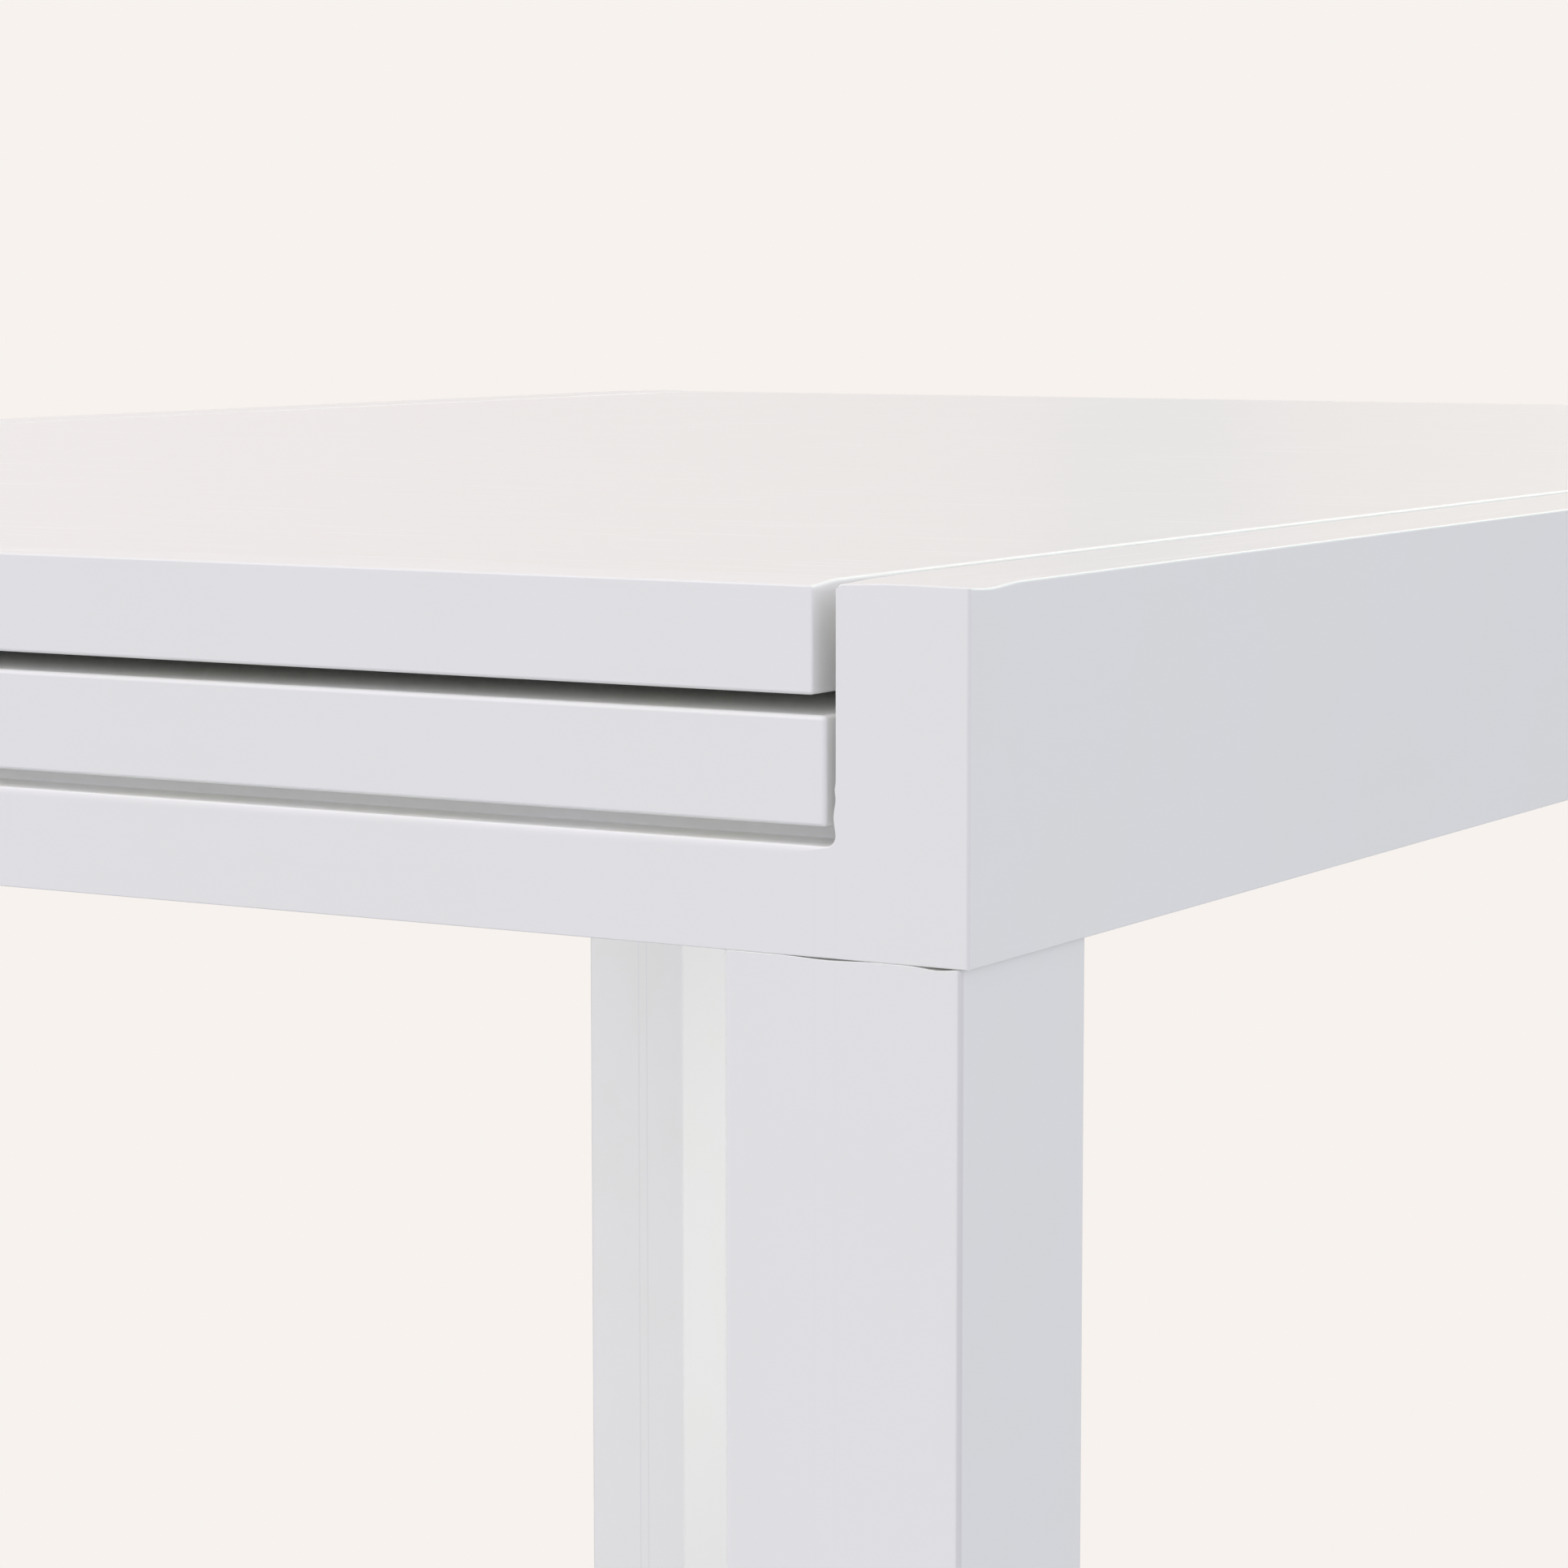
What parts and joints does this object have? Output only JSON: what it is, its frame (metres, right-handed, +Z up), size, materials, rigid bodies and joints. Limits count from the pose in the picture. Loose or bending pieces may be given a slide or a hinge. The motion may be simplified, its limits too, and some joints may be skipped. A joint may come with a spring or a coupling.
{
  "type": "extension dining table",
  "caption": "Square-legged dining table: a fixed top between full-height side rails, and under each end a leaf that draws out through a notched end frame.",
  "frame": {"origin": "middle of the footprint, on the floor", "axes": "+X along the table from end a to end b, +Y across it to the left side, +Z up"},
  "size_m": [1.302, 0.9, 0.75],
  "materials": {
    "white_lacquer": "satin white lacquer on smooth board",
    "beech": "plain sanded beech",
    "white_steel": "white powder coat",
    "aluminium": "extruded, natural anodised",
    "zinc_steel": "bright zinc plate",
    "brass": "turned",
    "nylon": "natural moulded nylon",
    "rubber": "matt grey"
  },
  "bodies": {
    "table": {"bearer_dowels": "beech", "bearer_screws": "zinc_steel", "bumpers": "rubber", "centre_bearer": "beech", "centre_screws": "zinc_steel", "channel_screws": "zinc_steel", "end_frame_a": "white_lacquer", "end_frame_b": "white_lacquer", "foot_glides": "nylon", "frame_dowels": "beech", "glide_nails": "zinc_steel", "glide_strip_a": "nylon", "glide_strip_b": "nylon", "guide_channel_a_left": "aluminium", "guide_channel_a_right": "aluminium", "guide_channel_b_left": "aluminium", "guide_channel_b_right": "aluminium", "leaf_bearer_a": "white_lacquer", "leaf_bearer_b": "white_lacquer", "ledger_screws": "zinc_steel", "leg_a_left": "white_lacquer", "leg_a_right": "white_lacquer", "leg_b_left": "white_lacquer", "leg_b_right": "white_lacquer", "leg_bolts": "zinc_steel", "leg_dowels": "beech", "leg_inserts": "brass", "leg_washers": "zinc_steel", "side_rail_left": "white_lacquer", "side_rail_right": "white_lacquer", "top_ledger_left": "white_steel", "top_ledger_right": "white_steel", "top_panel": "white_lacquer", "top_screws": "zinc_steel"},
    "extension_a": {"leaf_a": "white_lacquer", "leaf_runner_a_right": "aluminium", "leaf_runner_a_left": "aluminium", "guide_shoes_a_right": "nylon", "guide_shoes_a_left": "nylon", "shoe_screws_a": "zinc_steel", "runner_screws_a": "zinc_steel"},
    "extension_b": {"leaf_b": "white_lacquer", "leaf_runner_b_right": "aluminium", "leaf_runner_b_left": "aluminium", "guide_shoes_b_right": "nylon", "guide_shoes_b_left": "nylon", "shoe_screws_b": "zinc_steel", "runner_screws_b": "zinc_steel"}
  },
  "joints": [
    {"name": "leaf_a_slide", "type": "slide", "parent": "table", "child": "extension_a", "axis": [-1, 0, 0], "range_m": [0, 0.38]},
    {"name": "leaf_b_slide", "type": "slide", "parent": "table", "child": "extension_b", "axis": [1, 0, 0], "range_m": [0, 0.38]}
  ]
}
